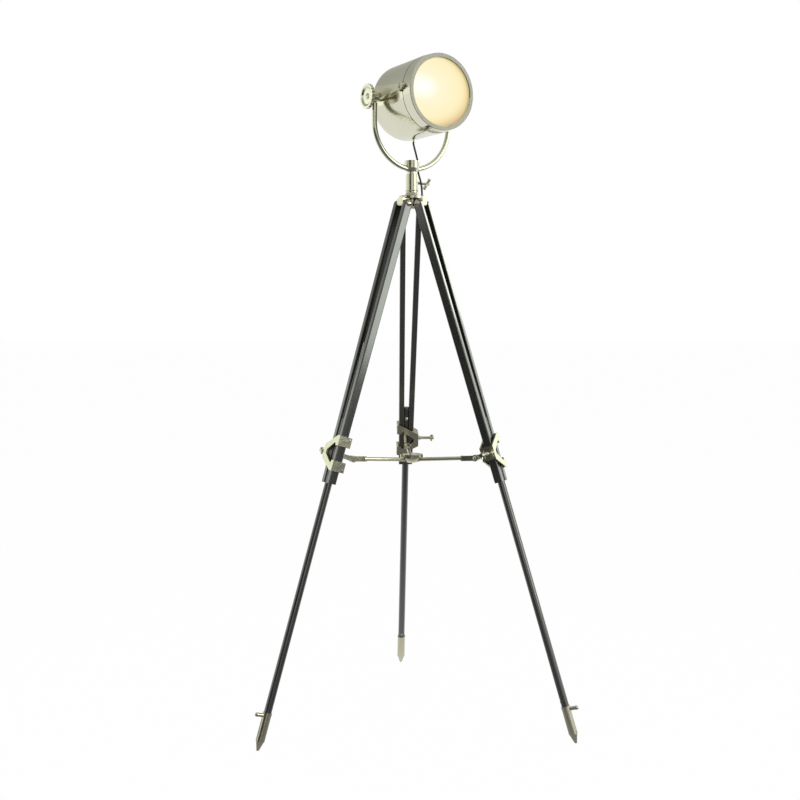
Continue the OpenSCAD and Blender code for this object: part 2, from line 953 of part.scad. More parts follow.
module yoke_socket() {
  color("#d2d2c6")
    on_axis()
      difference() {
        union() {
          translate([0, 0, socket_low])
            cylinder(r1 = socket_foot_r, r2 = socket_waist_r, h = socket_foot_len);
          translate([0, 0, socket_low + socket_foot_len])
            cylinder(r1 = socket_waist_r, r2 = socket_r, h = socket_foot_len);
          translate([0, 0, socket_low + 2 * socket_foot_len])
            cylinder(r = socket_r, h = socket_top - socket_low - 2 * socket_foot_len);
          rotate([0, 0, guide_turn]) {
            translate([guide_r, 0, guide_low])
              cylinder(r = guide_outer_r, h = guide_high - guide_low);
            translate([0, -guide_wall / 2, guide_low])
              cube([guide_r, guide_wall, guide_high - guide_low]);
          }
        }
        translate([0, 0, socket_top - dish_deep])
          cylinder(r1 = dish_r - dish_deep, r2 = dish_r, h = dish_deep + snug);
        rotate([0, 0, head_turn])
          yoke_path(tube_r + snug);
        rotate([0, 0, guide_turn])
          translate([guide_r, 0, guide_low - cut])
            cylinder(r = cord_d / 2 + snug, h = guide_high - guide_low + 2 * cut);
      }
}

module yoke_post() {
  post_low = hub_top + sleeve_floor + post_gap;
  groove_z = sleeve_top - lock_drop;
  color("#d8d8cc")
    on_axis() {
      translate([0, 0, post_low])
        cylinder(r = post_d / 2, h = groove_z - post_groove_len / 2 - post_low);
      translate([0, 0, groove_z - post_groove_len / 2])
        cylinder(r = post_groove_r, h = post_groove_len);
      translate([0, 0, groove_z + post_groove_len / 2])
        cylinder(r = post_d / 2, h = sleeve_top + neck_gap - groove_z - post_groove_len / 2);
      translate([0, 0, sleeve_top + neck_gap])
        cylinder(r = neck_r, h = socket_low - sleeve_top - neck_gap);
      translate([0, 0, socket_low - neck_step])
        cylinder(r = neck_r2, h = neck_step);
    }
}

// Tilt pivots

module knob(side) {
  mid = knob_at - yoke_r;
  inner = eye_t / 2 + washer_t + knob_seat;
  color("#d8d8cc")
    on_head()
      translate([0, side * yoke_r, 0])
        rotate([-side * 90, 0, 0])
          difference() {
            union() {
              translate([0, 0, mid - knob_t / 2])
                linear_extrude(knob_t)
                  union() {
                    circle(r = knob_d / 2 - knob_rim);
                    for (k = [0 : knob_lobes - 1])
                      rotate([0, 0, k * 360 / knob_lobes])
                        translate([knob_d / 2 - knob_lobe_r, 0])
                          circle(r = knob_lobe_r);
                  }
              translate([0, 0, inner])
                cylinder(r1 = knob_hub_r, r2 = knob_hub_r + knob_rim, h = mid - inner);
            }
            translate([0, 0, mid + knob_t / 2 - knob_dish])
              cylinder(r1 = knob_d / 2 - 4 * knob_rim, r2 = knob_d / 2 - 2 * knob_rim,
                h = knob_dish + snug);
            cylinder(r = tilt_bolt_r + run, h = mid + knob_t);
          }
}

module tilt_knob_left() knob(-1);
module tilt_knob_right() knob(1);

module tilt_bolts() {
  face = knob_at - yoke_r + knob_t / 2 - knob_dish + seat;
  color("#d8d8cc")
    on_head()
      for (side = [-1, 1])
        translate([0, side * yoke_r, 0])
          rotate([-side * 90, 0, 0]) {
            translate([0, 0, arm_face - yoke_r - tilt_bolt_in])
              cylinder(r = tilt_bolt_r, h = face - arm_face + yoke_r + tilt_bolt_in);
            translate([0, 0, face])
              dome_head(knob_cap_r, knob_cap_t);
          }
}

module tilt_washers() {
  color("#d8d8cc")
    on_yoke()
      for (side = [-1, 1])
        translate([0, side * yoke_r, tilt_h])
          for (y = [-eye_t / 2 - washer_t, eye_t / 2])
            difference() {
              rod_y(washer_r, y, y + washer_t);
              rod_y(tilt_bolt_r + washer_hole, y - cut, y + washer_t + cut);
            }
}

// Lamp head

// Turns a profile of [radius, distance forward] about the lamp head's own axis
module spin_x() {
  rotate([0, 90, 0])
    rotate_extrude()
      children();
}

module drum_profile(grow) {
  r = drum_r - grow;
  back = grow - drum_back;
  bend = drum_round - grow;
  translate([0, back + bend])
    square([r, drum_front - back - bend]);
  translate([0, back])
    square([r - bend, bend + cut]);
  translate([r - bend, back + bend])
    circle(r = bend);
}

module drum_shell() {
  color("#c9cabb")
    on_head()
      difference() {
        spin_x()
          difference() {
            intersection() {
              drum_profile(0);
              translate([0, -drum_back])
                square([drum_r, drum_back + drum_front]);
            }
            intersection() {
              drum_profile(drum_wall);
              translate([-cut, -drum_back])
                square([drum_r, drum_back + drum_front]);
            }
            translate([-drum_r, drum_front - cut])
              square([2 * drum_r - drum_wall, 2 * cut]);
          }
        rod_x(nipple_r + snug, -drum_back - cut, -drum_back + 2 * drum_wall);
        arm_screw_cuts();
        translate([gland_x, 0, -drum_r - cut])
          cylinder(r = gland_hole_r, h = 4 * drum_wall);
      }
}

module bezel_ring() {
  color("#b5b5ac")
    on_head()
      difference() {
        spin_x()
          polygon([[bezel_r, drum_front + seam_gap], [bezel_r, drum_front + bezel_lip],
            [bezel_front_r + bezel_step / 2, front_end - bezel_step],
            [bezel_front_r - bezel_step / 2, front_end],
            [front_hole_r + bezel_lip, front_end],
            [front_hole_r, front_end - bezel_lip],
            [front_hole_r, glass_front], [bezel_bore, glass_front],
            [bezel_bore, drum_front - spigot_len], [spigot_r, drum_front - spigot_len],
            [spigot_r, drum_front + seam_gap]]);
        arm_screw_cuts();
      }
}

module front_glass() {
  color("#fff3d0")
    on_head()
      rod_x(bezel_bore - snug, glass_front - glass_t, glass_front);
}

module glass_retainer() {
  color("#b5b5ac")
    on_head()
      difference() {
        rod_x(bezel_bore - snug, glass_front - glass_t - retainer_t, glass_front - glass_t);
        rod_x(retainer_hole, drum_front - cut, glass_front);
      }
}

module holder_bracket() {
  floor_x = drum_wall - drum_back;
  color("#b8b8b0")
    on_head() {
      rod_x(nipple_r, -drum_back - nut_t, -holder_x);
      translate([-drum_back, 0, 0])
        rotate([0, -90, 0])
          cylinder(r = nut_r, h = nut_t, $fn = 6);
      translate([floor_x, -strap_w / 2, -strap_len / 2])
        cube([strap_t, strap_w, strap_len]);
    }
}

module lamp_holder() {
  color("#1e1e1c")
    on_head()
      difference() {
        spin_x()
          polygon([[0, -holder_x], [holder_r - 2 * holder_lip, -holder_x],
            [holder_r, 2 * holder_lip - holder_x], [holder_r, holder_len - holder_x],
            [0, holder_len - holder_x]]);
        rod_x(cap_r + holder_wall / 2, holder_len - holder_x - cap_len - holder_lip,
          holder_len - holder_x + cut);
      }
}

module bulb() {
  cap_x = holder_len - holder_x - cap_len;
  ball_x = cap_x + bulb_len - bulb_r;
  color("#fff1cf")
    on_head() {
      rod_x(cap_r, cap_x - holder_lip, cap_x + cap_len);
      spin_x()
        intersection() {
          union() {
            translate([0, ball_x])
              circle(r = bulb_r);
            polygon([[0, cap_x + cap_len], [bulb_neck_r, cap_x + cap_len],
              [bulb_r * cos(bulb_neck_turn), ball_x - bulb_r * sin(bulb_neck_turn)], [0, ball_x]]);
          }
          translate([0, cap_x])
            square([2 * bulb_r, 2 * bulb_len]);
        }
    }
}

// Places of the three screws of each side arm
module arm_screw_places() {
  for (side = [-1, 1])
    rotate([side < 0 ? 180 - arm_up : arm_up, 0, 0])
      translate([arm_at, 0, 0])
        for (k = [0 : 2])
          translate([lobe_ring * cos(k * 120), 0, lobe_ring * sin(k * 120)])
            children();
}

module arm_screw_cuts() {
  arm_screw_places()
    rod_y(arm_screw_r + snug, arm_screw_end - cut, drum_r + arm_boss_r);
}

module side_arm(turn) {
  color("#d2d2c6")
    on_head()
      difference() {
        union() {
          rotate([turn, 0, 0]) {
            hull() {
              translate([arm_waist_x, 0, 0])
                rod_y(arm_waist_r, arm_inner, arm_waist_out, $fn = hull_fn);
              translate([arm_at - lobe_ring, 0, 0])
                rod_y(arm_tip_r, arm_inner, arm_tip_out, $fn = hull_fn);
            }
            hull() {
              rod_y(arm_boss_r, arm_inner, arm_shoulder, $fn = hull_fn);
              translate([arm_waist_x, 0, 0])
                rod_y(arm_waist_r, arm_inner, arm_waist_out, $fn = hull_fn);
            }
            for (k = [0 : 2])
              translate([arm_at + lobe_ring * cos(k * 120), 0, lobe_ring * sin(k * 120)])
                rod_y(lobe_r, arm_inner, lobe_out);
            translate([arm_at, 0, 0])
              rod_y(lobe_ring, arm_inner, lobe_out);
          }
          rotate([turn > 90 ? 180 : 0, 0, 0])
            rod_y(arm_neck_r, arm_inner, arm_face);
        }
        rod_x(bezel_r + arm_seat, -drum_back - cut, front_end + cut, $fn = seat_fn);
        arm_screw_places()
          rod_y(arm_screw_r + snug, arm_screw_end, 2 * drum_r);
        rotate([turn > 90 ? 180 : 0, 0, 0])
          rod_y(tilt_bolt_r + snug, arm_face - tilt_bolt_in - snug, arm_face + cut);
      }
}

module side_arm_left() side_arm(180 - arm_up);
module side_arm_right() side_arm(arm_up);

module arm_screws() {
  color("#d8d8cc")
    on_head()
      arm_screw_places() {
        rod_y(arm_screw_r, arm_screw_end, lobe_out + snug);
        translate([0, lobe_out, 0])
          rotate([-90, 0, 0])
            dome_head(arm_screw_head_r, arm_screw_head_t);
      }
}

module bezel_clip() {
  color("#d8d8cc")
    on_head()
      rotate([-clip_turn, 0, 0])
        difference() {
          union() {
            translate([clip_x0, -clip_w / 2, -bezel_r - clip_t])
              cube([clip_len, clip_w, 2 * clip_t]);
            translate([clip_x0 + clip_len / 2, 0, -bezel_r - clip_t - clip_screw_t])
              cylinder(r = clip_screw_r, h = 2 * clip_screw_t);
          }
          rod_x(bezel_r + snug, 0, 2 * front_end, $fn = seat_fn);
        }
}

module cable_gland() {
  color("#202020")
    on_head()
      translate([gland_x, 0, -drum_r])
        difference() {
          union() {
            translate([0, 0, -gland_t])
              cylinder(r = gland_r, h = 2 * gland_t);
            translate([0, 0, -gland_t - gland_nut_t])
              cylinder(r = gland_nut_r, h = gland_nut_t, $fn = 6);
            translate([0, 0, -gland_t - gland_nut_t - gland_end_t])
              cylinder(r = gland_end_r, h = gland_end_t);
          }
          translate([-gland_x, 0, drum_r])
            rod_x(drum_r + snug, -drum_back, drum_front, $fn = seat_fn);
        }
}

// Cords: a round tube swept along a smooth line through the route's points

function smooth(p, i, u) =
  let (n = len(p) - 1,
       a = p[max(i - 1, 0)], b = p[i], c = p[min(i + 1, n)], d = p[min(i + 2, n)])
  (2 * b + (c - a) * u + (2 * a - 5 * b + 4 * c - d) * u * u
    + (3 * b - a - 3 * c + d) * u * u * u) / 2;

function line_points(p) = concat(
  [for (i = [0 : len(p) - 2], k = [0 : cord_rings - 1]) smooth(p, i, k / cord_rings)],
  [p[len(p) - 1]]);

function unit(v) = v / norm(v);

module tube_along(route, r) {
  line = line_points(route);
  last = len(line) - 1;
  rings = [for (i = [0 : last])
    let (t = i == 0 || i == last ? [0, 0, -1] : unit(line[i + 1] - line[i - 1]),
         u = unit(cross([1, 0, 0], t)), v = cross(t, u))
    for (k = [0 : cord_sides - 1])
      line[i] + r * (u * cos(k * 360 / cord_sides) + v * sin(k * 360 / cord_sides))];
  sides = [for (i = [0 : last - 1], k = [0 : cord_sides - 1])
    let (a = i * cord_sides + k, b = i * cord_sides + (k + 1) % cord_sides)
    [a, b, b + cord_sides, a + cord_sides]];
  first_cap = [for (k = [0 : cord_sides - 1]) cord_sides - 1 - k];
  last_cap = [for (k = [0 : cord_sides - 1]) last * cord_sides + k];
  polyhedron(points = rings, faces = concat([first_cap], sides, [last_cap]));
}

module cord_upper() {
  color("#20201c")
    on_axis()
      translate([0, 0, hub_top])
        tube_along(upper_route, cord_d / 2);
}

module cord_lower() {
  color("#20201c")
    on_axis()
      translate([0, 0, hub_top])
        tube_along(lower_route, cord_d / 2);
}

hub_casting();
hub_lock_screw();
leg_bolts();
cable_bush();
rail_left_plate();
rail_left_screw();
clamp_bracket_left();
clamp_screw_left();
dowel_left();
stop_stud_left();
shoe_left();
step_peg_left();
rail_right_plate();
rail_right_screw();
clamp_bracket_right();
clamp_screw_right();
dowel_right();
stop_stud_right();
shoe_right();
step_peg_right();
rail_rear_plate();
rail_rear_screw();
clamp_bracket_rear();
clamp_screw_rear();
dowel_rear();
stop_stud_rear();
shoe_rear();
step_peg_rear();
spreader_bar_left();
knuckle_screw_left();
spreader_bar_right();
knuckle_screw_right();
spreader_bar_rear();
knuckle_screw_rear();
spreader_disc();
spreader_pins();
yoke_tube();
yoke_eyes();
yoke_socket();
yoke_post();
tilt_knob_left();
tilt_knob_right();
tilt_bolts();
tilt_washers();
drum_shell();
bezel_ring();
front_glass();
glass_retainer();
lamp_holder();
holder_bracket();
bulb();
side_arm_left();
side_arm_right();
arm_screws();
bezel_clip();
cable_gland();
cord_upper();
cord_lower();
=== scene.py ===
# %% [markdown]
# # A tripod spotlight floor lamp
# The metal and wood of this lamp are exact solids that already have their true
# size and joints. This notebook dresses them: a camera, a white studio, the two
# lengths of cord, small screws, threads, the seam's gasket, and a real finish for
# every surface. All sizes are in metres, the floor is z = 0, and the lamp's axis
# is upright.

# %% Load the lamp's solids
import bpy
import math
from mathutils import Matrix, Vector


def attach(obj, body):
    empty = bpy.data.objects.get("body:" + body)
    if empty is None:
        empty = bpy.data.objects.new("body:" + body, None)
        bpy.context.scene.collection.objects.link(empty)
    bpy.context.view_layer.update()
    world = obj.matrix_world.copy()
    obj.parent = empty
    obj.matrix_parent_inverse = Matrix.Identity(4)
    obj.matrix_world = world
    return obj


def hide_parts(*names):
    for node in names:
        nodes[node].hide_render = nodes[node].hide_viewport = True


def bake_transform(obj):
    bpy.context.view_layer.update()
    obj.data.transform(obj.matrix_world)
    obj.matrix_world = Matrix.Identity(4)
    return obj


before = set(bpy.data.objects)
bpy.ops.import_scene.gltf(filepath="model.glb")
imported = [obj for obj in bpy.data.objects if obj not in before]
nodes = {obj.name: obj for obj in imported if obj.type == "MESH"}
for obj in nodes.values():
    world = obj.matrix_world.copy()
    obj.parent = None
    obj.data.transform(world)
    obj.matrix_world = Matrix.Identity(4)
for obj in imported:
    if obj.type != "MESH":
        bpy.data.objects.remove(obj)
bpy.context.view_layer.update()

bpy.ops.object.select_all(action="DESELECT")

# %% [markdown]
# ## Where the lamp stands
# The lamp's axis, its three legs and the way that the head faces are written
# once here. A leg is a frame of its own: x points outward from the lamp, y runs
# around it and -z runs down the leg, so that every screw on a leg gets its place
# in three plain numbers, and the same numbers serve all three legs.

# %% Places on the lamp
MM = 0.001
AXIS = Vector((0.0, -0.1129, 0.0))
LEG_TURNS = {"left": 210.0, "right": 330.0, "rear": 90.0}
HINGE_R = 28 * MM
HINGE_H = 1346 * MM
FOOT_R = 455 * MM
SPLAY = math.atan2(FOOT_R - HINGE_R, HINGE_H)
LEG_LEN = math.hypot(FOOT_R - HINGE_R, HINGE_H)
HEAD_TURN = math.radians(-61.55)
TILT_H = 1607 * MM
TILT_REST = math.radians(1)


def leg_frame(turn):
    around = Matrix.Rotation(math.radians(turn), 4, "Z")
    lean = Matrix.Rotation(-SPLAY, 4, "Y")
    return Matrix.Translation(AXIS) @ around @ Matrix.Translation((HINGE_R, 0, HINGE_H)) @ lean


def head_frame():
    around = Matrix.Rotation(HEAD_TURN, 4, "Z")
    tilt = Matrix.Rotation(-TILT_REST, 4, "Y")
    return Matrix.Translation(AXIS) @ Matrix.Translation((0, 0, TILT_H)) @ around @ tilt


print("leg length", round(LEG_LEN, 4), "splay", round(math.degrees(SPLAY), 2))

# %% [markdown]
# ## The camera
# The photograph was taken from a little above half the lamp's height and about
# three metres away, with a normal lens. Its place was worked out from the feet,
# the legs and the round drum together, so the camera looks slightly down and is
# turned a few degrees, and the lamp stands in the frame as in the picture.

# %% Camera
CAMERA_PLACE = Vector((-0.2125, -2.9306, 1.0677)) + AXIS
CAMERA_TURN = math.radians(86.45 - 90)
CAMERA_DOWN = math.radians(4.417)
CAMERA_LENS = 50.77
SENSOR_WIDTH = 36

camera_data = bpy.data.cameras.new("camera")
camera_data.lens = CAMERA_LENS
camera_data.sensor_width = SENSOR_WIDTH
camera_data.dof.use_dof = False
camera = bpy.data.objects.new("camera", camera_data)
camera.location = CAMERA_PLACE
camera.rotation_euler = (math.pi / 2 - CAMERA_DOWN, 0, CAMERA_TURN)
bpy.context.collection.objects.link(camera)
bpy.context.scene.camera = camera
print("camera", [round(x, 3) for x in CAMERA_PLACE])

# %% [markdown]
# ## The cord
# A round black flex comes out of the gland under the drum, is guided past the
# yoke by a small ear, and goes down through the bush in the hub. It is a thin
# tube on a smooth line, so a curve with a round bevel makes it best. It is made
# in two lengths that meet in the ear, one between the head and the ear and one
# between the ear and the hub. The lower length twists just above the lock screw,
# so that it passes over the screw when the yoke turns.

# %% Cord routes
CORD_D = 5 * MM
upper_route = [
    (3.4, -6.1, 1503.5), (3.6, -5.6, 1499), (5.6, -1.6, 1492), (10.4, 8.6, 1478),
    (14.8, 17.0, 1464), (16.3, 19.4, 1455), (16.45, 19.6, 1449)]
lower_route = [
    (16.45, 19.6, 1441), (16.7, 19.4, 1436), (18.6, 16.2, 1425), (22.2, 10.6, 1411),
    (25.0, 6.7, 1395), (26.3, 5.1, 1380), (26.5, 5.0, 1370)]
CORD_STEPS = 5
MERGE_WITHIN = 0.02 * MM


def smooth_line(route):
    points = [Vector(p) * MM + AXIS for p in route]
    line = []
    for i in range(len(points) - 1):
        a, b = points[max(i - 1, 0)], points[i]
        c, d = points[i + 1], points[min(i + 2, len(points) - 1)]
        for k in range(CORD_STEPS):
            u = k / CORD_STEPS
            line.append((2 * b + (c - a) * u + (2 * a - 5 * b + 4 * c - d) * u * u
                         + (3 * b - a - 3 * c + d) * u ** 3) / 2)
    return line + [points[-1]]


def line_length(line):
    return sum((b - a).length for a, b in zip(line, line[1:]))


print("route points", len(upper_route), len(lower_route))


# %% Cord tubes
def cord_tube(name, route):
    line = smooth_line(route)
    curve = bpy.data.curves.new(name, "CURVE")
    curve.dimensions = "3D"
    spline = curve.splines.new("POLY")
    spline.points.add(len(line) - 1)
    for point, place in zip(spline.points, line):
        point.co = (*place, 1)
    curve.bevel_depth = CORD_D / 2
    curve.bevel_resolution = 6
    curve.use_fill_caps = True
    tube = bpy.data.objects.new(name, curve)
    bpy.context.collection.objects.link(tube)
    bpy.ops.object.select_all(action="DESELECT")
    tube.select_set(True)
    bpy.context.view_layer.objects.active = tube
    bpy.ops.object.convert(target="MESH")
    tube = bpy.context.view_layer.objects.active
    bpy.ops.object.mode_set(mode="EDIT")
    bpy.ops.mesh.select_all(action="SELECT")
    bpy.ops.mesh.remove_doubles(threshold=MERGE_WITHIN)
    bpy.ops.mesh.normals_make_consistent(inside=False)
    bpy.ops.object.mode_set(mode="OBJECT")
    bpy.ops.object.shade_smooth_by_angle(angle=math.radians(40))
    return tube, line


cord_upper, upper_line = cord_tube("flex_upper", upper_route)
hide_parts("cord_upper")
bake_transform(cord_upper)

cord_lower, lower_line = cord_tube("flex_lower", lower_route)
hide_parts("cord_lower")
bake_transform(cord_lower)
print("cord", round(line_length(upper_line), 4), round(line_length(lower_line), 4))

# %% [markdown]
# ## The studio
# The picture is a cut-out on pure white. The world is white to the camera, and a
# softer grey as light, so that pale metal keeps its colour. In reflections it is
# bright near the horizon, dim above it and brighter again overhead. A wide floor is
# white too and keeps a trace of shadow; in reflections it is bright behind the lamp
# and dim in front. Polished metal is drawn by what it reflects, so two dark cards
# stand to the left of the camera and a narrow one to its right, and bright cards
# stand where the lacquered legs mirror them. Two of the bright cards stand far off,
# so that the legs mirror them tall, but the round drum only as a narrow band.

# %% World
WORLD_LIGHT = 0.55
PURE_WHITE = 1.0
# How bright reflections see the sky, from the horizon at 0 to overhead at 1
SKY = [(0.0, 0.80), (0.06, 0.95), (0.16, 0.85), (0.34, 0.50), (0.60, 0.40), (1.0, 0.74)]
SKY_RED, SKY_BLUE = 0.98, 0.95

world = bpy.data.worlds.new("white_studio")
bpy.context.scene.world = world
world.use_nodes = True
tree = world.node_tree
tree.nodes.clear()
path_node = tree.nodes.new("ShaderNodeLightPath")
seen = tree.nodes.new("ShaderNodeMath")
seen.operation = "MAXIMUM"
as_light = tree.nodes.new("ShaderNodeBackground")
as_light.inputs["Color"].default_value = (1, 1, 1, 1)
as_light.inputs["Strength"].default_value = WORLD_LIGHT
as_seen = tree.nodes.new("ShaderNodeBackground")
as_seen.inputs["Color"].default_value = (1, 1, 1, 1)
as_seen.inputs["Strength"].default_value = PURE_WHITE
way = tree.nodes.new("ShaderNodeTexCoord")
parts = tree.nodes.new("ShaderNodeSeparateXYZ")
sky = tree.nodes.new("ShaderNodeValToRGB")
sky.color_ramp.elements[0].position = SKY[0][0]
sky.color_ramp.elements[1].position = SKY[-1][0]
for at, _ in SKY[1:-1]:
    sky.color_ramp.elements.new(at)
for stop, (at, bright) in zip(sky.color_ramp.elements, SKY):
    stop.color = (SKY_RED * bright, bright, SKY_BLUE * bright, 1)
in_metal = tree.nodes.new("ShaderNodeBackground")
mix = tree.nodes.new("ShaderNodeMixShader")
mix_metal = tree.nodes.new("ShaderNodeMixShader")
out = tree.nodes.new("ShaderNodeOutputWorld")
tree.links.new(way.outputs["Generated"], parts.inputs[0])
tree.links.new(parts.outputs["Z"], sky.inputs[0])
tree.links.new(sky.outputs[0], in_metal.inputs["Color"])
tree.links.new(path_node.outputs["Is Camera Ray"], seen.inputs[0])
tree.links.new(path_node.outputs["Is Transmission Ray"], seen.inputs[1])
tree.links.new(seen.outputs[0], mix.inputs["Fac"])
tree.links.new(as_light.outputs[0], mix.inputs[1])
tree.links.new(as_seen.outputs[0], mix.inputs[2])
tree.links.new(path_node.outputs["Is Glossy Ray"], mix_metal.inputs["Fac"])
tree.links.new(mix.outputs[0], mix_metal.inputs[1])
tree.links.new(in_metal.outputs[0], mix_metal.inputs[2])
tree.links.new(mix_metal.outputs[0], out.inputs["Surface"])
bpy.context.scene.view_settings.view_transform = "Standard"
print("world", world.name)

# %% Floor
FLOOR_SIZE = 80
FLOOR_DROP = 0.5 * MM
FLOOR_PAINT = (0.9, 0.9, 0.9, 1)
# How much of the floor the camera sees as plain white; the rest keeps the shadow
WHITE_SHARE = 0.975
# Reflections see it dim up to the first place along y, and bright from the second
DIM_UP_TO, BRIGHT_FROM = -0.5, 0.6
DIM, BRIGHT = 0.16, 0.90

bpy.ops.mesh.primitive_plane_add(size=FLOOR_SIZE, location=(0, 0, -FLOOR_DROP))
floor = bpy.context.active_object
floor.name = "studio_floor"
floor_finish = bpy.data.materials.new("white_floor")
floor_finish.use_nodes = True
tree = floor_finish.node_tree
tree.nodes.clear()
path_node = tree.nodes.new("ShaderNodeLightPath")
matt = tree.nodes.new("ShaderNodeBsdfDiffuse")
matt.inputs["Color"].default_value = FLOOR_PAINT
glow = tree.nodes.new("ShaderNodeEmission")
glow.inputs["Strength"].default_value = PURE_WHITE
share = tree.nodes.new("ShaderNodeMath")
share.operation = "MULTIPLY"
share.inputs[1].default_value = WHITE_SHARE
where = tree.nodes.new("ShaderNodeTexCoord")
parts = tree.nodes.new("ShaderNodeSeparateXYZ")
depth = tree.nodes.new("ShaderNodeMapRange")
depth.inputs["From Min"].default_value = DIM_UP_TO
depth.inputs["From Max"].default_value = BRIGHT_FROM
depth.inputs["To Min"].default_value = DIM
depth.inputs["To Max"].default_value = BRIGHT
in_metal = tree.nodes.new("ShaderNodeEmission")
mix = tree.nodes.new("ShaderNodeMixShader")
mix_metal = tree.nodes.new("ShaderNodeMixShader")
out = tree.nodes.new("ShaderNodeOutputMaterial")
tree.links.new(where.outputs["Object"], parts.inputs[0])
tree.links.new(parts.outputs["Y"], depth.inputs["Value"])
tree.links.new(depth.outputs[0], in_metal.inputs["Strength"])
tree.links.new(path_node.outputs["Is Camera Ray"], share.inputs[0])
tree.links.new(share.outputs[0], mix.inputs["Fac"])
tree.links.new(matt.outputs[0], mix.inputs[1])
tree.links.new(glow.outputs[0], mix.inputs[2])
tree.links.new(path_node.outputs["Is Glossy Ray"], mix_metal.inputs["Fac"])
tree.links.new(mix.outputs[0], mix_metal.inputs[1])
tree.links.new(in_metal.outputs[0], mix_metal.inputs[2])
tree.links.new(mix_metal.outputs[0], out.inputs["Surface"])
floor.data.materials.append(floor_finish)
print("floor", floor.name)


# %% Lamps
# Name, place, the point that it aims at, edge length and power
SOFTBOXES = [
    ("softbox_left", (-2.6, -2.4, 2.6), (0, 0, 1.0), 1.8, 38),
    ("softbox_right", (2.4, -2.0, 2.2), (0, 0, 1.1), 1.8, 22),
    ("softbox_top", (0, 0.6, 3.6), (0, 0, 1.0), 2.0, 18)]


def softbox(name, place, aim, size, power):
    data = bpy.data.lights.new(name, "AREA")
    data.shape = "SQUARE"
    data.size = size
    data.energy = power
    box = bpy.data.objects.new(name, data)
    box.location = place
    box.rotation_euler = (Vector(aim) - Vector(place)).to_track_quat("-Z", "Y").to_euler()
    box.visible_camera = False
    box.visible_glossy = False
    bpy.context.collection.objects.link(box)


for row in SOFTBOXES:
    softbox(*row)
print("softboxes", len(SOFTBOXES))


# %% Cards that only reflections see
# Name, direction in degrees from +x towards +y, distance from the lamp's axis,
# lower edge, upper edge, width and brightness
CARDS = [
    ("dark_card_left", 236, 3.2, 0.0, 2.7, 2.2, 0.05),
    ("dark_card_low", 209.5, 3.2, 0.0, 1.45, 0.9, 0.05),
    ("dark_card_right", 292, 3.4, 0.0, 2.6, 0.5, 0.08),
    ("bright_card_right", 334, 3.0, 0.75, 3.0, 1.3, 3.2),
    ("bright_card_back", 38, 3.0, 0.7, 1.75, 1.1, 1.5),
    ("far_card_back", 40, 12.0, 2.0, 7.0, 4.4, 3.7),
    ("far_card_left", 148, 12.0, 1.2, 4.2, 5.0, 1.3)]
CARD_TINT = (0.94, 1.0, 0.90, 1)


def card(name, azimuth, distance, low, high, width, bright):
    turn = math.radians(azimuth)
    middle = (low + high) / 2
    place = AXIS + Vector((distance * math.cos(turn), distance * math.sin(turn), middle))
    bpy.ops.mesh.primitive_plane_add(size=1, location=place,
                                     rotation=(math.pi / 2, 0, turn - math.pi / 2))
    made = bpy.context.active_object
    made.name = name
    made.scale = (width, high - low, 1)
    finish = bpy.data.materials.new(name)
    finish.use_nodes = True
    tree = finish.node_tree
    tree.nodes.clear()
    glow = tree.nodes.new("ShaderNodeEmission")
    glow.inputs["Color"].default_value = CARD_TINT
    glow.inputs["Strength"].default_value = bright
    out = tree.nodes.new("ShaderNodeOutputMaterial")
    tree.links.new(glow.outputs[0], out.inputs["Surface"])
    made.data.materials.append(finish)
    made.visible_camera = False
    made.visible_diffuse = False
    made.visible_shadow = False
    made.visible_transmission = False


for row in CARDS:
    card(*row)
bpy.ops.object.select_all(action="DESELECT")
print("cards", len(CARDS))


# %% [markdown]
# ## A helper for finishes
# Every finish here starts from one shader and a few pattern nodes that read the
# object's own coordinates. A small helper keeps each finish short: it makes the
# material, adds nodes by name and links them, so that a cell shows only what is
# special about that surface. Many surfaces need no more than a fine grain in their
# colour and gloss, so that has a function of its own.

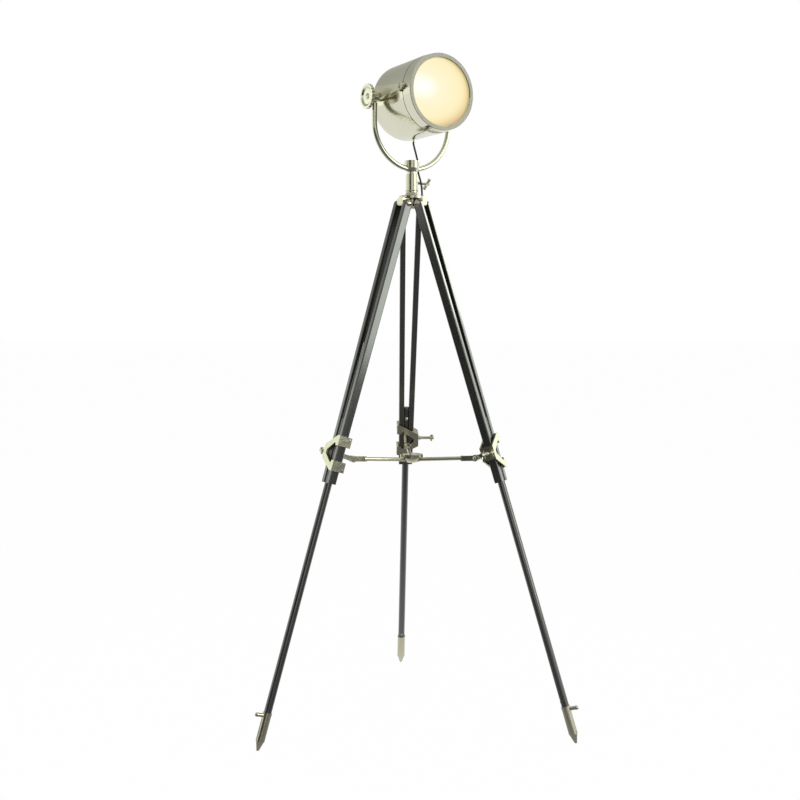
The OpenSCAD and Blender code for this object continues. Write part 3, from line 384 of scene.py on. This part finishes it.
# %% Finish helper
class Finish:
    def __init__(self, name):
        self.material = bpy.data.materials.new(name)
        self.material.use_nodes = True
        self.tree = self.material.node_tree
        self.shader = self.tree.nodes["Principled BSDF"]
        self.place = self.tree.nodes.new("ShaderNodeTexCoord").outputs["Object"]

    def feed(self, socket, value):
        """Links another node's output to a socket, or sets it to a plain value."""
        if hasattr(value, "is_output"):
            self.tree.links.new(value, socket)
        else:
            socket.default_value = value

    def node(self, kind, **inputs):
        made = self.tree.nodes.new("ShaderNode" + kind)
        for key, value in inputs.items():
            self.feed(made.inputs[key.replace("_", " ")], value)
        return made

    def worked_out(self, operation, *values, kind="Math"):
        made = self.node(kind)
        made.operation = operation
        for socket, value in zip(made.inputs, values):
            self.feed(socket, value)
        return made

    def mapped(self, turn=(0, 0, 0), scale=(1, 1, 1), move=(0, 0, 0), source=None):
        step = self.node("Mapping", Rotation=turn, Scale=scale, Location=move,
                         Vector=source or self.place)
        return step.outputs[0]

    def seen_from(self, frame_of_piece):
        """The object's coordinates, turned into a leg's or the head's own frame."""
        back = frame_of_piece.inverted()
        return self.mapped(turn=tuple(back.to_euler("XYZ")), move=tuple(back.translation))

    def ramp(self, source, stops):
        made = self.tree.nodes.new("ShaderNodeValToRGB")
        self.tree.links.new(source, made.inputs[0])
        stops = [(at, colour if len(colour) == 4 else (*colour, 1)) for at, colour in stops]
        made.color_ramp.elements[0].position, made.color_ramp.elements[0].color = stops[0]
        made.color_ramp.elements[1].position, made.color_ramp.elements[1].color = stops[-1]
        for at, colour in stops[1:-1]:
            made.color_ramp.elements.new(at).color = colour
        return made.outputs[0]

    def spread(self, source, low, high):
        made = self.node("MapRange", Value=source)
        made.inputs["To Min"].default_value = low
        made.inputs["To Max"].default_value = high
        return made.outputs[0]

    def link(self, source, socket):
        self.tree.links.new(source, self.shader.inputs[socket])

    def bump(self, source, depth, strength=1.0):
        made = self.node("Bump", Height=source, Strength=strength, Distance=depth)
        self.link(made.outputs[0], "Normal")


def grained(name, scale, detail, dark, pale, rough_low, rough_high, depth=None):
    finish = Finish(name)
    grain = finish.node("TexNoise", Vector=finish.place, Scale=scale, Detail=detail)
    finish.link(finish.ramp(grain.outputs[0], [(0.3, dark), (0.7, pale)]), "Base Color")
    finish.link(finish.spread(grain.outputs[0], rough_low, rough_high), "Roughness")
    if depth:
        finish.bump(grain.outputs[0], depth)
    return finish


print("finish helper ready")


# %% [markdown]
# ## Polished nickel
# Turned, rolled and drawn parts are nickel plated and polished: a warm, slightly
# yellow metal with a clear but not perfect mirror. Real plate is never even, so a
# slow noise shifts its roughness, as fingers and polish do, and a very shallow
# one bends its reflections. The cast parts get the same colour with more ripple.

# %% Nickel finishes
def nickel(name, colour, dull, rough_low, rough_high, ripple_scale, ripple_depth):
    finish = Finish(name)
    slow = finish.node("TexNoise", Vector=finish.place, Scale=9.0, Detail=4.0)
    finish.link(finish.ramp(slow.outputs[0], [(0.3, dull), (0.7, colour)]), "Base Color")
    smear = finish.node("TexNoise", Vector=finish.mapped(scale=(30, 30, 90)), Scale=2.0,
                        Detail=6.0)
    finish.link(finish.spread(smear.outputs[0], rough_low, rough_high), "Roughness")
    ripple = finish.node("TexNoise", Vector=finish.place, Scale=ripple_scale, Detail=3.0)
    finish.bump(ripple.outputs[0], ripple_depth)
    finish.shader.inputs["Metallic"].default_value = 1.0
    return finish.material


polished = nickel("polished_nickel", colour=(0.77, 0.75, 0.61), dull=(0.69, 0.67, 0.53),
                  rough_low=0.06, rough_high=0.17, ripple_scale=60, ripple_depth=0.04 * MM)
drawn = nickel("drawn_nickel", colour=(0.78, 0.77, 0.62), dull=(0.70, 0.70, 0.55),
               rough_low=0.10, rough_high=0.22, ripple_scale=25, ripple_depth=0.08 * MM)
cast = nickel("cast_nickel", colour=(0.75, 0.73, 0.58), dull=(0.63, 0.60, 0.45),
              rough_low=0.14, rough_high=0.32, ripple_scale=140, ripple_depth=0.12 * MM)
print("nickel", polished.name, drawn.name, cast.name)

# %% [markdown]
# ## The two faces of the bezel
# The front ring is one turned piece with two finishes: its side is polished like
# the drum, and only the face around the glass is satin. The border is a plane in
# the lamp head, so the place along the head's axis chooses between two shaders.
# The satin face also has fine rings around that axis, from a wave texture.

# %% Satin face of the bezel
SATIN_DARK, SATIN_PALE = (0.35, 0.345, 0.27), (0.43, 0.425, 0.34)

satin = Finish("bezel_nickel")
in_head = satin.seen_from(head_frame())
rings = satin.node("TexWave", Vector=in_head, Scale=900, Distortion=2.0, Detail=3.0)
rings.wave_type = "RINGS"
rings.rings_direction = "X"
turned = rings.outputs["Fac"]
satin.link(satin.ramp(turned, [(0.0, SATIN_DARK), (1.0, SATIN_PALE)]), "Base Color")
satin.link(satin.spread(turned, 0.42, 0.55), "Roughness")
satin.bump(turned, 0.02 * MM)
satin.shader.inputs["Metallic"].default_value = 0.25

# %% Polished side of the bezel
SIDE_DULL, SIDE_BRIGHT = (0.71, 0.70, 0.56), (0.80, 0.78, 0.64)
SEAM_X = 106.8 * MM
BEZEL_LEN = 31.5 * MM
FACE_RIM = 0.6 * MM
FACE_FROM = SEAM_X + BEZEL_LEN - FACE_RIM

slow = satin.node("TexNoise", Vector=satin.place, Scale=9.0, Detail=4.0)
side_colour = satin.ramp(slow.outputs[0], [(0.3, SIDE_DULL), (0.7, SIDE_BRIGHT)])
side_shader = satin.node("BsdfPrincipled", Base_Color=side_colour, Metallic=1.0, Roughness=0.14)
along_head = satin.node("SeparateXYZ", Vector=in_head)
is_face = satin.worked_out("GREATER_THAN", along_head.outputs["X"], FACE_FROM)
both_faces = satin.tree.nodes.new("ShaderNodeMixShader")
satin.tree.links.new(is_face.outputs[0], both_faces.inputs["Fac"])
satin.tree.links.new(side_shader.outputs[0], both_faces.inputs[1])
satin.tree.links.new(satin.shader.outputs[0], both_faces.inputs[2])
satin.tree.links.new(both_faces.outputs[0], satin.tree.nodes["Material Output"].inputs["Surface"])
print("satin", satin.material.name)


# %% [markdown]
# ## Black lacquered wood
# The rails and dowels are straight-grained hardwood under black semi-gloss
# lacquer. The grain shows only as fine lines in the gloss. It has to run along
# each leg, so the coordinates are first turned into that leg's frame and then
# stretched along it. A rail's face towards the dowel is only stained: the place
# across the leg, less the rail's own lean, says where the clear coat ends.

# %% Wood finish
RAIL_LEN = 738 * MM
RAIL_GAP_TOP = 28 * MM
RAIL_GAP_LOW = 9.2 * MM
RAIL_INNER_TOP = RAIL_GAP_TOP / 2
RAIL_LEAN = (RAIL_GAP_TOP - RAIL_GAP_LOW) / 2 / RAIL_LEN
COAT_STARTS = 0.5 * MM
GRAIN_DARK, GRAIN_PALE = (0.008, 0.008, 0.006), (0.020, 0.020, 0.016)


def lacquered_wood(name, turn, stained_inside):
    finish = Finish(name)
    along = finish.seen_from(leg_frame(turn))
    grain_place = finish.mapped(scale=(260, 260, 7), source=along)
    grain = finish.node("TexNoise", Vector=grain_place, Scale=1.0, Detail=7.0, Roughness=0.62)
    colour = finish.ramp(grain.outputs[0], [(0.35, GRAIN_DARK), (0.62, GRAIN_PALE)])
    finish.link(colour, "Base Color")
    patch_place = finish.mapped(scale=(40, 40, 6), source=along)
    patch = finish.node("TexNoise", Vector=patch_place, Scale=1.0, Detail=3.0)
    finish.link(finish.spread(patch.outputs[0], 0.24, 0.38), "Roughness")
    finish.bump(grain.outputs[0], 0.1 * MM, 0.5)
    finish.shader.inputs["Specular IOR Level"].default_value = 0.5
    finish.shader.inputs["Coat Weight"].default_value = 1.0
    if stained_inside:
        place = finish.node("SeparateXYZ", Vector=along)
        aside = finish.worked_out("ABSOLUTE", place.outputs["Y"])
        level = finish.worked_out("MULTIPLY_ADD", place.outputs["Z"], -RAIL_LEAN, aside.outputs[0])
        coated = finish.worked_out("GREATER_THAN", level.outputs[0], RAIL_INNER_TOP + COAT_STARTS)
        finish.link(finish.spread(coated.outputs[0], 0.04, 1.0), "Coat Weight")
        finish.link(finish.spread(coated.outputs[0], 0.12, 0.5), "Specular IOR Level")
    finish.shader.inputs["Coat IOR"].default_value = 2.0
    finish.shader.inputs["Coat Roughness"].default_value = 0.15
    return finish.material


wood, rail_wood = {}, {}
for side, turn in LEG_TURNS.items():
    wood[side] = lacquered_wood("black_lacquer_" + side, turn, stained_inside=False)
    rail_wood[side] = lacquered_wood("rail_lacquer_" + side, turn, stained_inside=True)
print("wood", len(wood) + len(rail_wood))

# %% [markdown]
# ## Black plastic, the cord's jacket and the seam's rubber
# The cable bush and the lamp holder are moulded black, and the cord has a softer
# matt jacket. Both are nearly black with a fine grain in the bump, which keeps
# them from looking like holes in the picture. The rubber of the seam has hardly
# any gloss, so that it stays a dark line among the reflections.

# %% Black finishes
plastic = grained("black_moulding", scale=900.0, detail=2.0, dark=(0.018, 0.018, 0.018),
                  pale=(0.034, 0.034, 0.033), rough_low=0.38, rough_high=0.52, depth=0.03 * MM)
jacket = grained("cord_jacket", scale=500.0, detail=3.0, dark=(0.022, 0.022, 0.019),
                 pale=(0.045, 0.044, 0.038), rough_low=0.42, rough_high=0.6, depth=0.05 * MM)
rubber = grained("seam_rubber", scale=300.0, detail=2.0, dark=(0.006, 0.006, 0.005),
                 pale=(0.012, 0.012, 0.010), rough_low=0.75, rough_high=0.9)
rubber.shader.inputs["Specular IOR Level"].default_value = 0.15
print("black finishes ready")

# %% [markdown]
# ## The lit glass
# The front glass is frosted and lit from behind: white where the bulb stands
# nearest, then warm cream, and amber towards the lower right edge. At its very
# edge it turns brown, and that brown is a painted shadow of the bezel's rim on
# the glass. The glass itself gives the light, by a distance from the hot spot in
# the head's frame, so the glow stays on the glass when the lamp is seen from
# another side.

# %% Glass finish
HOT_SPOT = (0.13, -0.052, 0.010)
HEIGHT_COUNTS_MORE = (1, 1, 1.45)
GLOW_REACH = 0.150

glass = grained("lit_frosted_glass", scale=700.0, detail=2.0, dark=(0.05, 0.045, 0.03),
                pale=(0.07, 0.06, 0.045), rough_low=0.45, rough_high=0.6, depth=0.04 * MM)
in_head = glass.seen_from(head_frame())
from_spot = glass.worked_out("SUBTRACT", in_head, HOT_SPOT, kind="VectorMath")
oval = glass.worked_out("MULTIPLY", from_spot.outputs["Vector"], HEIGHT_COUNTS_MORE,
                        kind="VectorMath")
away = glass.worked_out("LENGTH", oval.outputs["Vector"], kind="VectorMath")
reach = glass.node("MapRange", Value=away.outputs["Value"], From_Max=GLOW_REACH)
# White through cream to amber is the lamp's own glow; the two brown stops at 0.95 and 1.0 are a
# painted shadow of the bezel's rim on the glass's edge.
glow_and_rim_shadow = glass.ramp(reach.outputs[0], [
    (0.0, (1.0, 1.0, 0.97)), (0.13, (1.0, 0.985, 0.90)), (0.35, (0.965, 0.88, 0.61)),
    (0.70, (0.955, 0.84, 0.51)), (0.80, (0.93, 0.79, 0.45)), (0.88, (0.83, 0.67, 0.34)),
    (0.95, (0.70, 0.52, 0.26)), (1.0, (0.55, 0.38, 0.19))])
glass.link(glow_and_rim_shadow, "Emission Color")
glass.shader.inputs["Emission Strength"].default_value = 0.95
print("glass", glass.material.name)

# %% Bulb finish
opal = grained("opal_bulb", scale=40.0, detail=2.0, dark=(0.85, 0.80, 0.66),
               pale=(0.92, 0.88, 0.76), rough_low=0.22, rough_high=0.3)
opal.shader.inputs["Emission Color"].default_value = (1.0, 0.86, 0.6, 1)
opal.shader.inputs["Emission Strength"].default_value = 0.6
print("bulb", opal.material.name)

# %% [markdown]
# ## Small screws
# A lamp like this is held by many small slotted screws: one in each pressure
# plate of the clamps, one above each shoe, and three in the drum's seam. A head
# could be turned from a profile with a spin, but a short cylinder with a bevelled
# rim has the same form in one step, and its lower half sits in the metal. The slot
# is cut with a thin block. One screw is made, and the others are copies of it,
# each with a mesh of its own.

# %% Helpers for small pieces
def make_active(piece):
    bpy.ops.object.select_all(action="DESELECT")
    piece.select_set(True)
    bpy.context.view_layer.objects.active = piece


def copy_of(piece, name):
    make_active(piece)
    bpy.ops.object.duplicate()
    made = bpy.context.active_object
    made.name = name
    return made


def set_in(piece, where, body, finish):
    piece.matrix_world = where
    make_active(piece)
    bpy.ops.object.transform_apply(location=True, rotation=True, scale=True)
    piece.data.materials.clear()
    piece.data.materials.append(finish)
    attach(piece, body)


UP_TO_Y = Matrix.Rotation(math.radians(-90), 4, "X")
UP_TO_MINUS_Y = Matrix.Rotation(math.radians(90), 4, "X")
UP_TO_X = Matrix.Rotation(math.radians(90), 4, "Y")
UP_TO_MINUS_X = Matrix.Rotation(math.radians(-90), 4, "Y")
print("helpers ready")


# %% One slotted screw
def make_screw(name, radius, height, slot_width, slot_depth):
    bpy.ops.mesh.primitive_cylinder_add(vertices=40, radius=radius, depth=2 * height)
    head = bpy.context.active_object
    head.name = name
    rim = head.modifiers.new("rim", "BEVEL")
    rim.width = 0.7 * height
    rim.segments = 4
    rim.limit_method = "ANGLE"
    bpy.ops.object.modifier_apply(modifier="rim")
    bpy.ops.mesh.primitive_cube_add(size=1, location=(0, 0, height))
    block = bpy.context.active_object
    block.scale = (3 * radius, slot_width, 2 * slot_depth)
    cut = head.modifiers.new("slot", "BOOLEAN")
    cut.operation = "DIFFERENCE"
    cut.solver = "EXACT"
    cut.object = block
    make_active(head)
    bpy.ops.object.modifier_apply(modifier="slot")
    bpy.data.objects.remove(block)
    bpy.ops.object.shade_smooth_by_angle(angle=math.radians(35))
    return head


# %% Screws on the clamps, the shoes and the seam
CLAMP_AT = 661 * MM
CLAMP_HALF = 45 * MM
CLAMP_MID = 18.5 * MM
PLATE_OUT = 25.95 * MM
FROM_PLATE_SIDE = 5.5 * MM
FROM_PLATE_END = 6.5 * MM
PLATE_SLOT_TURN = 25
DOWEL_R = 9.5 * MM
SHOE_SCREW_AT = 1307 * MM
DRUM_R = 95.4 * MM
SEAM_SCREW_X = 102.6 * MM
SEAM_SCREW_TURNS = (-45, 45, 180)

plate_screw = make_screw("plate_screw", radius=2.7 * MM, height=1.2 * MM,
                         slot_width=0.8 * MM, slot_depth=0.7 * MM)
small_screw = make_screw("small_screw", radius=2.2 * MM, height=1.1 * MM,
                         slot_width=0.7 * MM, slot_depth=0.6 * MM)
small_count = 0
for side, turn in LEG_TURNS.items():
    leg = leg_frame(turn)
    for z in (-1, 1):
        height = -CLAMP_AT + z * (CLAMP_HALF - FROM_PLATE_END)
        spot = Vector((-CLAMP_MID + FROM_PLATE_SIDE, PLATE_OUT, height))
        made = copy_of(plate_screw, "plate_screw_%s_%s" % (side, "low" if z < 0 else "top"))
        lean = Matrix.Rotation(math.radians(PLATE_SLOT_TURN * z), 4, "Z")
        set_in(made, leg @ Matrix.Translation(spot) @ UP_TO_Y @ lean, "leg_" + side, polished)
        small_count += 1
    made = copy_of(small_screw, "shoe_screw_" + side)
    spot = Vector((-DOWEL_R, 0, -SHOE_SCREW_AT))
    set_in(made, leg @ Matrix.Translation(spot) @ UP_TO_MINUS_X, "foot_" + side, polished)
    small_count += 1
for k, turn in enumerate(SEAM_SCREW_TURNS):
    around = Matrix.Rotation(math.radians(turn), 4, "X")
    made = copy_of(small_screw, "seam_screw_%d" % k)
    spot = Matrix.Translation((SEAM_SCREW_X, 0, -DRUM_R)) @ Matrix.Rotation(math.pi, 4, "X")
    set_in(made, head_frame() @ around @ spot, "head", polished)
    small_count += 1
bpy.data.objects.remove(plate_screw)
bpy.data.objects.remove(small_screw)
print("small screws", small_count)

# %% [markdown]
# ## The seam's gasket
# A thin black gasket fills the groove between the drum and the bezel and shows as
# a dark line around the lamp. It is an open ring that stands a little out of the
# groove, given its wall by a solidify modifier and soft edges by a bevel.

# %% Gasket
SEAM_GAP = 0.8 * MM
GASKET_X = SEAM_X + SEAM_GAP / 2
GASKET_OUT = 0.45 * MM
GASKET_DEPTH = 2.1 * MM
GASKET_WALL = 0.8 * MM
GASKET_EDGE = 0.2 * MM

bpy.ops.mesh.primitive_cylinder_add(vertices=160, radius=DRUM_R + GASKET_OUT,
                                    depth=GASKET_DEPTH, end_fill_type="NOTHING")
gasket = bpy.context.active_object
gasket.name = "seam_gasket"
wall = gasket.modifiers.new("wall", "SOLIDIFY")
wall.thickness = GASKET_WALL
wall.offset = -1
bpy.ops.object.modifier_apply(modifier="wall")
edge = gasket.modifiers.new("edge", "BEVEL")
edge.width = GASKET_EDGE
edge.segments = 2
edge.limit_method = "ANGLE"
bpy.ops.object.modifier_apply(modifier="edge")
bpy.ops.object.shade_smooth_by_angle(angle=math.radians(35))
set_in(gasket, head_frame() @ Matrix.Translation((GASKET_X, 0, 0)) @ UP_TO_X, "head",
       rubber.material)
print("gasket faces", len(gasket.data.polygons))

# %% [markdown]
# ## Threads
# The clamp screws and the lock screw have a rolled thread on the length that
# shows. At this size a stack of fine ridges looks the same as a helix, and closes
# without a loose end. One ridge is an open ring that is cut across its middle and
# swelled there, and an array stacks it into a sleeve around the plain shank.

# %% A threaded sleeve
RIDGES_MERGE = 0.01 * MM


def make_thread(name, radius, rise, pitch, turns):
    bpy.ops.mesh.primitive_cylinder_add(vertices=36, radius=radius, depth=pitch,
                                        end_fill_type="NOTHING")
    sleeve = bpy.context.active_object
    sleeve.name = name
    bpy.ops.object.mode_set(mode="EDIT")
    bpy.ops.mesh.select_all(action="SELECT")
    bpy.ops.mesh.bisect(plane_co=(0, 0, 0), plane_no=(0, 0, 1))
    swell = (radius + rise) / radius
    bpy.ops.transform.resize(value=(swell, swell, 1))
    bpy.ops.object.mode_set(mode="OBJECT")
    stack = sleeve.modifiers.new("stack", "ARRAY")
    stack.count = turns
    stack.relative_offset_displace = (0, 0, 1)
    stack.use_merge_vertices = True
    stack.merge_threshold = RIDGES_MERGE
    bpy.ops.object.modifier_apply(modifier="stack")
    bpy.ops.object.mode_set(mode="EDIT")
    bpy.ops.mesh.select_all(action="SELECT")
    bpy.ops.mesh.fill_holes(sides=0)
    bpy.ops.mesh.select_all(action="SELECT")
    bpy.ops.mesh.normals_make_consistent(inside=False)
    bpy.ops.object.mode_set(mode="OBJECT")
    bpy.ops.object.shade_smooth_by_angle(angle=math.radians(30))
    return sleeve


# %% Threads on the screws
PITCH = 1.25 * MM
CLAMP_THREAD_FROM = 41.1 * MM
LOCK_THREAD_FROM = 19.6 * MM
LOCK_TURN = math.radians(43)
LOCK_H = 1402 * MM

clamp_thread = make_thread("clamp_thread", radius=3.95 * MM, rise=0.5 * MM, pitch=PITCH,
                           turns=21)
for side, turn in LEG_TURNS.items():
    made = copy_of(clamp_thread, "thread_" + side)
    spot = Matrix.Translation((0, -CLAMP_THREAD_FROM - PITCH / 2, -CLAMP_AT))
    set_in(made, leg_frame(turn) @ spot @ UP_TO_MINUS_Y, "clamp_" + side, polished)
bpy.data.objects.remove(clamp_thread)

lock_thread = make_thread("lock_thread", radius=2.95 * MM, rise=0.4 * MM, pitch=PITCH, turns=25)
around = Matrix.Translation(AXIS) @ Matrix.Rotation(LOCK_TURN, 4, "Z")
spot = Matrix.Translation((LOCK_THREAD_FROM, 0, LOCK_H))
set_in(lock_thread, around @ spot @ UP_TO_X, "hub_screw", polished)
print("thread faces", len(lock_thread.data.polygons))

# %% [markdown]
# ## Finishes on the solids
# Each solid gets the finish that its real counterpart has. Drawn tube and sheet,
# castings and turned pieces differ a little in their polish.

# %% Assign finishes
finish_of = {}
for name in nodes:
    if name.startswith("rail"):
        finish_of[name] = rail_wood[next(side for side in LEG_TURNS if side in name)]
    elif name.startswith("dowel"):
        finish_of[name] = wood[next(side for side in LEG_TURNS if side in name)]
    elif name.startswith(("clamp_bracket", "shoe", "hub_casting", "yoke_socket", "spreader_disc",
                          "side_arm", "spreader_bar")):
        finish_of[name] = cast
    elif name in ("drum_shell", "yoke_tube"):
        finish_of[name] = drawn
    elif name in ("bezel_ring", "glass_retainer", "holder_bracket"):
        finish_of[name] = satin.material
    elif name in ("cable_bush", "lamp_holder"):
        finish_of[name] = plastic.material
    elif name == "front_glass":
        finish_of[name] = glass.material
    elif name == "bulb":
        finish_of[name] = opal.material
    elif name.startswith("cord"):
        finish_of[name] = jacket.material
    else:
        finish_of[name] = polished

for name, made in finish_of.items():
    mesh = nodes[name].data
    mesh.materials.clear()
    mesh.materials.append(made)
for tube in (cord_upper, cord_lower):
    tube.data.materials.clear()
    tube.data.materials.append(jacket.material)
print("finishes", len(finish_of))
